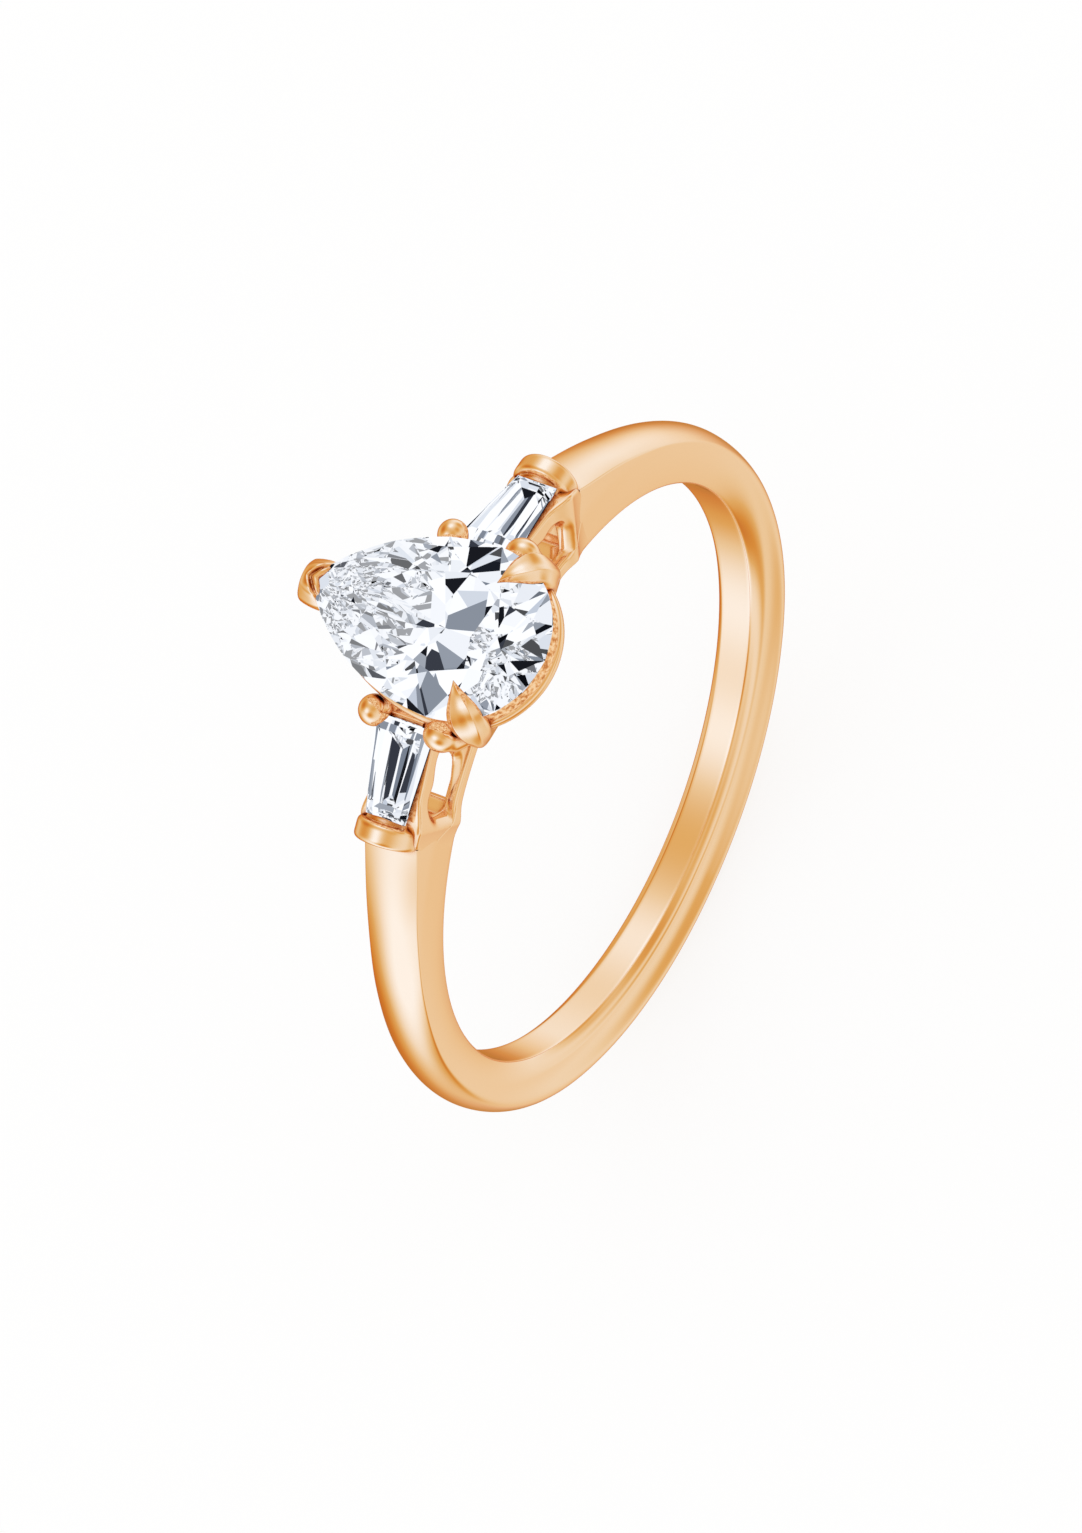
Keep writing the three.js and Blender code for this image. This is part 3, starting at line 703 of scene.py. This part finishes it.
def centre_stone_planes():
    inside = np.array([0, PEAR_CENTRE_Y, 13.05])
    table_centre = np.array([0, PEAR_CENTRE_Y + 0.3, 0])
    planes = [(np.array([0, 0, TABLE_Z]), np.array([0, 0, 1.0]))]
    outline = pear_outline(0, 30)
    for a, b in zip(outline, np.roll(outline, -1, 0)):
        if np.linalg.norm(b - a) > 1e-6:
            n = np.array([b[1] - a[1], a[0] - b[0], 0]) / np.linalg.norm(b - a)
            planes.append((np.array([*a, 0]), n))
    mains = []
    for deg, slope in zip(MAIN_DEG, PAVILION_DEG):
        a = math.radians(deg)
        outward = np.array([math.cos(a), math.sin(a), 0])
        sideways = np.array([-outward[1], outward[0], 0])
        top, bottom = girdle_point(deg, GIRDLE_TOP), girdle_point(deg, GIRDLE_BOTTOM)
        corner = 0.58 * top + 0.42 * table_centre
        corner[2] = TABLE_Z
        down = bottom - outward - (0, 0, math.tan(math.radians(slope)))
        crown = plane_through(top, top + sideways, corner, inside)
        pavilion = plane_through(bottom, bottom + sideways, down, inside)
        mains.append((top, bottom, corner, crown, pavilion))
    crown_z = GIRDLE_TOP + 0.52 * (TABLE_Z - GIRDLE_TOP)
    pavilion_z = CULET_Z + 0.24 * (GIRDLE_BOTTOM - CULET_Z)
    for i, main in enumerate(mains):
        other = mains[(i + 1) % len(mains)]
        star_tip = meet_at(main[3], other[3], crown_z)
        half_tip = meet_at(main[4], other[4], pavilion_z)
        mid_top, mid_bottom = girdle_point(MIDDLE_DEG[i], GIRDLE_TOP), girdle_point(MIDDLE_DEG[i], GIRDLE_BOTTOM)
        planes += [main[3], main[4], plane_through(main[2], other[2], star_tip, inside)]
        for side in (main, other):
            planes.append(plane_through(side[0], mid_top, star_tip, inside))
            planes.append(plane_through(side[1], mid_bottom, half_tip, inside))
    return planes


def build_centre_stone():
    mesh = ground_stone("centre", (-3, -4.5, CULET_Z - 1), (3, 4.5, TABLE_Z + 1), centre_stone_planes())
    stone = new_object("centre_stone_look", *mesh, smooth=False)
    return finish_piece(stone, "diamond", "centre_stone")


BAGUETTE_INNER = np.array([2.6, 11.83])
BAGUETTE_OUTER = np.array([5.05, 10.49])
BAGUETTE_HALF = (0.93, 0.61)
SETTING_Y = -0.07
CROWN_STEPS = [(0, 46), (0.14, 32)]
PAVILION_STEPS = [(0, 58), (0.16, 46), (0.38, 36)]


def build_side_stones():
    length = np.linalg.norm(BAGUETTE_OUTER - BAGUETTE_INNER)
    inner, outer = BAGUETTE_HALF
    corners = [(0, -inner), (length, -outer), (length, outer), (0, inner)]
    planes = [(np.array([0, 0, 0.26]), np.array([0, 0, 1.0])), (np.array([0, 0, -0.86]), np.array([0, 0, -1.0]))]
    for i, (x, y) in enumerate(corners):
        nx, ny = corners[(i + 1) % 4]
        out = np.array([ny - y, x - nx, 0]) / math.hypot(ny - y, x - nx)
        planes.append((np.array([x, y, 0]), out))
        for z, sign, steps in ((0, 1, CROWN_STEPS), (-0.06, -1, PAVILION_STEPS)):
            point = np.array([x, y, z], float)
            for k, (inset, deg) in enumerate(steps):
                if k:
                    run = inset - steps[k - 1][0]
                    point = point - out * run + (0, 0, sign * run * math.tan(math.radians(steps[k - 1][1])))
                a = math.radians(deg)
                planes.append((point, out * math.sin(a) + np.array([0, 0, sign * math.cos(a)])))
    slope = math.atan2(BAGUETTE_INNER[1] - BAGUETTE_OUTER[1], BAGUETTE_OUTER[0] - BAGUETTE_INNER[0])
    move = Matrix.Translation((BAGUETTE_INNER[0], SETTING_Y, BAGUETTE_INNER[1])) @ Matrix.Rotation(slope, 4, "Y")
    mesh = ground_stone("side", (-1, -2, -2), (length + 1, 2, 1), planes, move)
    for side, sign in (("right", 1), ("left", -1)):
        stone = new_object(f"side_stone_{side}_look", np.array(mesh[0]) * (sign, 1, 1), mesh[1], smooth=False)
        finish_piece(stone, "diamond", f"side_stone_{side}")


build_shank()
build_rails()
build_claws()
build_tip_claw()
build_beads()
build_side_frames()
build_bridges()
build_end_bars()
build_cross_bars()
build_centre_stone()
build_side_stones()

# ---- Materials ----


# What the stones see: two layers of many-sided panels, each with a share of black and grey ones.
PANELS = [
    (3.2, 1.3, [(0.0, (0.01, 0.011, 0.015)), (0.12, (0.25, 0.28, 0.33)), (0.2, (1.0, 1.01, 1.03))]),
    (7.0, 4.1, [(0.0, (0.04, 0.045, 0.06)), (0.12, (0.35, 0.38, 0.43)), (0.2, (0.75, 0.79, 0.85)),
                (0.32, (1.0, 1.01, 1.03))]),
]


def node_material(name):
    material = bpy.data.materials.new(name)
    material.use_nodes = True
    tree = material.node_tree
    tree.nodes.clear()
    return material, tree.nodes, tree.links


class Graph:
    """Short calls for building a shader tree."""

    def __init__(self, tree):
        self.tree = tree

    def node(self, kind, **settings):
        made = self.tree.nodes.new(kind)
        for key, value in settings.items():
            setattr(made, key, value)
        return made

    def join(self, source, target):
        self.tree.links.new(source, target)

    def feed(self, socket, value):
        if isinstance(value, bpy.types.NodeSocket):
            self.join(value, socket)
        else:
            socket.default_value = value

    def math(self, operation, *values, clamp=False):
        made = self.node("ShaderNodeMath", operation=operation, use_clamp=clamp)
        for socket, value in zip(made.inputs, values):
            self.feed(socket, value)
        return made.outputs[0]

    def dot(self, a, b):
        made = self.node("ShaderNodeVectorMath", operation="DOT_PRODUCT")
        self.feed(made.inputs[0], a)
        self.feed(made.inputs[1], b)
        return made.outputs["Value"]

    def ramp(self, value, stops, interpolation="LINEAR"):
        made = self.node("ShaderNodeValToRGB")
        made.color_ramp.interpolation = interpolation
        elements = made.color_ramp.elements
        while len(elements) < len(stops):
            elements.new(0.5)
        for element, (position, colour) in zip(elements, stops):
            element.position = position
            element.color = (*colour, 1)
        self.feed(made.inputs[0], value)
        return made.outputs["Color"]

    def mix_colour(self, factor, a, b, blend="MIX"):
        made = self.node("ShaderNodeMix", data_type="RGBA", blend_type=blend)
        self.feed(made.inputs["Factor"], factor)
        self.feed(made.inputs["A"], a)
        self.feed(made.inputs["B"], b)
        return made.outputs["Result"]

    def mix_shader(self, factor, a, b):
        made = self.node("ShaderNodeMixShader")
        self.feed(made.inputs[0], factor)
        self.join(a, made.inputs[1])
        self.join(b, made.inputs[2])
        return made.outputs[0]

    def zones(self, direction, base, zones):
        """A base brightness with soft round zones: (azimuth, elevation, tightness, darkening)."""
        total = base
        for azimuth, elevation, tightness, darkening in zones:
            a, e = math.radians(azimuth), math.radians(elevation)
            centre = (math.sin(a) * math.cos(e), math.cos(a) * math.cos(e), math.sin(e))
            near = self.math("SUBTRACT", self.dot(direction, centre), 1.0)
            glow = self.math("EXPONENT", self.math("MULTIPLY", near, tightness))
            total = self.math("SUBTRACT", total, self.math("MULTIPLY", glow, darkening))
        return total


    def stone_view(self, direction):
        """What a ray sees once it has left a stone: panels, blurred by its turns inside."""
        panels = (1, 1, 1, 1)
        for scale, shift, stops in PANELS:
            cells = self.node("ShaderNodeTexVoronoi", feature="F1", voronoi_dimensions="4D")
            cells.inputs["Scale"].default_value = scale
            cells.inputs["W"].default_value = shift
            self.join(direction, cells.inputs["Vector"])
            pick = self.node("ShaderNodeSeparateColor")
            self.join(cells.outputs["Color"], pick.inputs[0])
            layer = self.ramp(pick.outputs[0], stops, "CONSTANT")
            panels = self.mix_colour(1.0, panels, layer, "MULTIPLY")
        shade = self.node("ShaderNodeTexNoise")
        shade.inputs["Scale"].default_value = 2.5
        shade.inputs["Detail"].default_value = 1
        self.join(direction, shade.inputs["Vector"])
        soft = self.ramp(shade.outputs[0], [(0.35, (0.7, 0.73, 0.78)), (0.5, (1, 1, 1))])
        panels = self.mix_colour(1.0, panels, soft, "MULTIPLY")
        path = self.node("ShaderNodeLightPath")
        turns = self.math("SUBTRACT", path.outputs["Glossy Depth"], 2.0)
        blur = self.math("MINIMUM", self.math("MAXIMUM", self.math("MULTIPLY", turns, 0.08), 0.0), 0.4)
        return self.mix_colour(blur, panels, (0.86, 0.88, 0.92, 1))


def gold_material():
    """Polished rose gold, with painted shade in crevices and towards its silhouette."""
    material, nodes, links = node_material("rose_gold")
    g = Graph(material.node_tree)
    out = g.node("ShaderNodeOutputMaterial")
    bsdf = g.node("ShaderNodeBsdfPrincipled")
    # Painted shade: ambient occlusion darkens the colour to orange-brown in crevices and between parts.
    crevice = g.node("ShaderNodeAmbientOcclusion", samples=4)
    crevice.inputs["Distance"].default_value = 0.2 * MM
    depth = g.ramp(crevice.outputs["AO"], [
        (0.22, (0.08, 0.012, 0.002)), (0.46, (0.42, 0.11, 0.02)), (0.7, (0.85, 0.5, 0.27)), (0.9, GOLD),
    ])
    # Painted shade: the colour darkens to orange-brown where the surface is seen edge-on, towards the silhouette.
    facing = g.node("ShaderNodeLayerWeight")
    facing.inputs["Blend"].default_value = 0.5
    rim = g.ramp(facing.outputs["Facing"], [
        (0.52, (1, 1, 1)), (0.67, (0.97, 0.83, 0.64)), (0.81, (0.84, 0.44, 0.18)), (0.91, (0.5, 0.12, 0.03)),
    ])
    polish = g.node("ShaderNodeTexNoise")
    polish.inputs["Scale"].default_value = 900
    polish.inputs["Detail"].default_value = 3
    bsdf.inputs["Metallic"].default_value = 1
    g.join(g.math("MULTIPLY_ADD", polish.outputs[0], 0.06, 0.04), bsdf.inputs["Roughness"])
    g.join(g.mix_colour(1.0, depth, rim, "MULTIPLY"), bsdf.inputs["Base Color"])
    # Painted reflection: seen through a stone, the gold glows with the studio's panels beyond it instead of being lit.
    onward = g.node("ShaderNodeVectorMath", operation="SCALE")
    onward.inputs["Scale"].default_value = -1
    g.join(g.node("ShaderNodeNewGeometry").outputs["Incoming"], onward.inputs[0])
    beyond = g.node("ShaderNodeEmission")
    g.join(g.stone_view(onward.outputs[0]), beyond.inputs["Color"])
    through_stone = g.math("GREATER_THAN", g.node("ShaderNodeLightPath").outputs["Transmission Depth"], 0.5)
    g.join(g.mix_shader(through_stone, bsdf.outputs[0], beyond.outputs[0]), out.inputs[0])
    return material


GOLD = (0.98, 0.84, 0.70)
DIAMOND_IOR = 2.417


def diamond_material():
    """Light enters by refraction; inside, a ray is either turned back whole or let out, by angle."""
    material, nodes, links = node_material("diamond")
    g = Graph(material.node_tree)
    out = g.node("ShaderNodeOutputMaterial")
    place = g.node("ShaderNodeNewGeometry")
    into = g.node("ShaderNodeBsdfRefraction")
    into.inputs["IOR"].default_value = DIAMOND_IOR
    into.inputs["Roughness"].default_value = 0
    mirror = g.node("ShaderNodeBsdfGlossy")
    mirror.inputs["Roughness"].default_value = 0
    mirror.inputs["Color"].default_value = (1, 1, 1, 1)
    cosine = g.math("ABSOLUTE", g.dot(place.outputs["Normal"], place.outputs["Incoming"]))
    sine_squared = g.math("SUBTRACT", 1.0, g.math("MULTIPLY", cosine, cosine))
    trapped = g.math("GREATER_THAN", sine_squared, 1 / DIAMOND_IOR ** 2)
    turned_back = g.math("MULTIPLY", trapped, place.outputs["Backfacing"])
    stone = g.mix_shader(turned_back, into.outputs[0], mirror.outputs[0])
    # Painted glints: a stone seen in the metal glows with an orange speckle instead of showing its own light.
    path = g.node("ShaderNodeLightPath")
    from_metal = g.math("MULTIPLY", g.math("GREATER_THAN", path.outputs["Glossy Depth"], 0.5),
                        g.math("LESS_THAN", path.outputs["Transmission Depth"], 0.5))
    glints = g.node("ShaderNodeTexNoise")
    glints.inputs["Scale"].default_value = 9000
    glints.inputs["Detail"].default_value = 2
    g.join(place.outputs["Position"], glints.inputs["Vector"])
    deep = g.node("ShaderNodeEmission")
    g.join(g.ramp(glints.outputs[0], [
        (0.36, (0.58, 0.24, 0.08)), (0.5, (0.85, 0.54, 0.27)), (0.6, (0.95, 0.77, 0.54)),
    ]), deep.inputs["Color"])
    g.join(g.mix_shader(from_metal, stone, deep.outputs[0]), out.inputs[0])
    return material


LOOKS = {"gold": gold_material(), "diamond": diamond_material()}
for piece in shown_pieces():
    if "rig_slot" in piece:
        piece.data.materials.clear()
        piece.data.materials.append(LOOKS[piece["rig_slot"]])

# ---- Floor, light and camera ----


def build_floor():
    size = 3.0
    mesh = bpy.data.meshes.new("floor")
    mesh.from_pydata([(-size, -size, 0), (size, -size, 0), (size, size, 0), (-size, size, 0)], [], [(0, 1, 2, 3)])
    floor = bpy.data.objects.new("floor", mesh)
    bpy.context.scene.collection.objects.link(floor)
    material, nodes, links = node_material("floor_white")
    out = nodes.new("ShaderNodeOutputMaterial")
    diffuse = nodes.new("ShaderNodeBsdfDiffuse")
    diffuse.inputs["Color"].default_value = (1, 1, 1, 1)
    glow = nodes.new("ShaderNodeEmission")
    glow.inputs["Color"].default_value = (1, 1, 1, 1)
    mix = nodes.new("ShaderNodeMixShader")
    mix.inputs[0].default_value = 0.8
    links.new(diffuse.outputs[0], mix.inputs[1])
    links.new(glow.outputs[0], mix.inputs[2])
    links.new(mix.outputs[0], out.inputs[0])
    mesh.materials.append(material)
    floor.visible_glossy = False
    floor.visible_transmission = False


# The studio as the metal sees it: brightness 1 is a white wall. Azimuth is from +Y towards +X.
METAL_BASE = 0.9
METAL_ZONES = [
    (15, -30, 2.2, 0.46),  # dark far floor
    (0, -18, 9, -0.32),  # lamp, far side
    (-90, -12, 6, -0.22),  # lamp, left
    (-60, 5, 10, -0.10),
    (-30, -40, 10, 0.12),
    (72, -22, 5, -0.28),  # lamp, right
    (-125, -48, 22, 0.38),  # flag, low at the front left
    (-158, -46, 26, 0.2),  # flag, low at the front
    (105, -5, 16, 0.30),  # flag, right
    (140, 25, 20, 0.22),  # flag above the front
    (162, -24, 30, 0.22),  # flag at the front
    (20, -65, 12, 0.14),  # flag under the ring
    (-20, -80, 12, -0.12),
    (-105, 22, 12, 0.38),  # flag, upper left
    (-70, 50, 14, -0.30),  # lamp, upper left
    (75, 45, 14, -0.30),  # lamp, upper right
    (0, 30, 9, 0.26),  # flag above the far side
    (0, 90, 1.2, 0.17),  # dim ceiling
    (-170, 50, 12, 0.12),  # the camera
]
METAL_RAMP = [
    (0.0, (0.02, 0.003, 0.0)),
    (0.3, (0.5, 0.08, 0.01)),
    (0.55, (0.7, 0.31, 0.06)),
    (0.68, (0.77, 0.47, 0.17)),
    (0.8, (0.86, 0.68, 0.45)),
    (1.0, (1.02, 1.05, 1.1)),
]


def build_world():
    """A white studio. Stones and metal see its flags at different strengths, and the floor sees none."""
    world = bpy.data.worlds.new("studio")
    bpy.context.scene.world = world
    world.use_nodes = True
    world.node_tree.nodes.clear()
    g = Graph(world.node_tree)
    direction = g.node("ShaderNodeTexCoord").outputs["Generated"]
    path = g.node("ShaderNodeLightPath")
    metal = g.ramp(g.zones(direction, METAL_BASE, METAL_ZONES), METAL_RAMP)

    panels = g.stone_view(direction)
    through_stone = g.math("GREATER_THAN", path.outputs["Transmission Depth"], 0.5)
    seen = g.mix_colour(through_stone, metal, panels)
    plain = g.math("MAXIMUM", path.outputs["Is Diffuse Ray"], path.outputs["Is Camera Ray"])
    lit = g.mix_colour(plain, seen, (1, 1, 1, 1))
    background = g.node("ShaderNodeBackground")
    g.join(lit, background.inputs[0])
    out = g.node("ShaderNodeOutputWorld")
    g.join(background.outputs[0], out.inputs[0])


CAMERA_DISTANCE = 250.0  # mm from the finger hole's centre
CAMERA_AZIMUTH = 21.53  # where it looks, from +Y towards +X
CAMERA_ELEVATION = 63.91  # how steeply it looks down
CAMERA_ROLL = 46.37
AIM_RIGHT = -1.18  # what it aims at, mm right of and below the finger hole's centre
AIM_DOWN = -0.025


def build_camera():
    data = bpy.data.cameras.new("camera")
    data.lens = 209.97
    data.sensor_width = 36
    data.clip_start = 0.01
    data.clip_end = 10
    camera = bpy.data.objects.new("camera", data)
    bpy.context.scene.collection.objects.link(camera)
    a, e, roll = [math.radians(d) for d in (CAMERA_AZIMUTH, CAMERA_ELEVATION, CAMERA_ROLL)]
    forward = np.array([math.sin(a) * math.cos(e), math.cos(a) * math.cos(e), -math.sin(e)])
    level = np.array([math.cos(a), -math.sin(a), 0])
    under = np.cross(forward, level)
    right = level * math.cos(roll) + under * math.sin(roll)
    down = np.cross(forward, right)
    eye = -forward * CAMERA_DISTANCE
    look = forward * CAMERA_DISTANCE + right * AIM_RIGHT + down * AIM_DOWN
    look /= np.linalg.norm(look)
    down -= (down @ look) * look
    down /= np.linalg.norm(down)
    turn = Matrix((np.cross(down, look), -down, -look)).transposed()
    camera.matrix_world = Matrix.Translation((eye + (0, 0, HOLE_CENTRE_Z)) * MM) @ turn.to_4x4()
    bpy.context.scene.camera = camera


build_floor()
build_world()
build_camera()

scene = bpy.context.scene
scene.view_settings.view_transform = "Standard"
scene.cycles.use_denoising = True
scene.cycles.max_bounces = 32
scene.cycles.transmission_bounces = 24
scene.cycles.glossy_bounces = 24
scene.cycles.transparent_max_bounces = 32
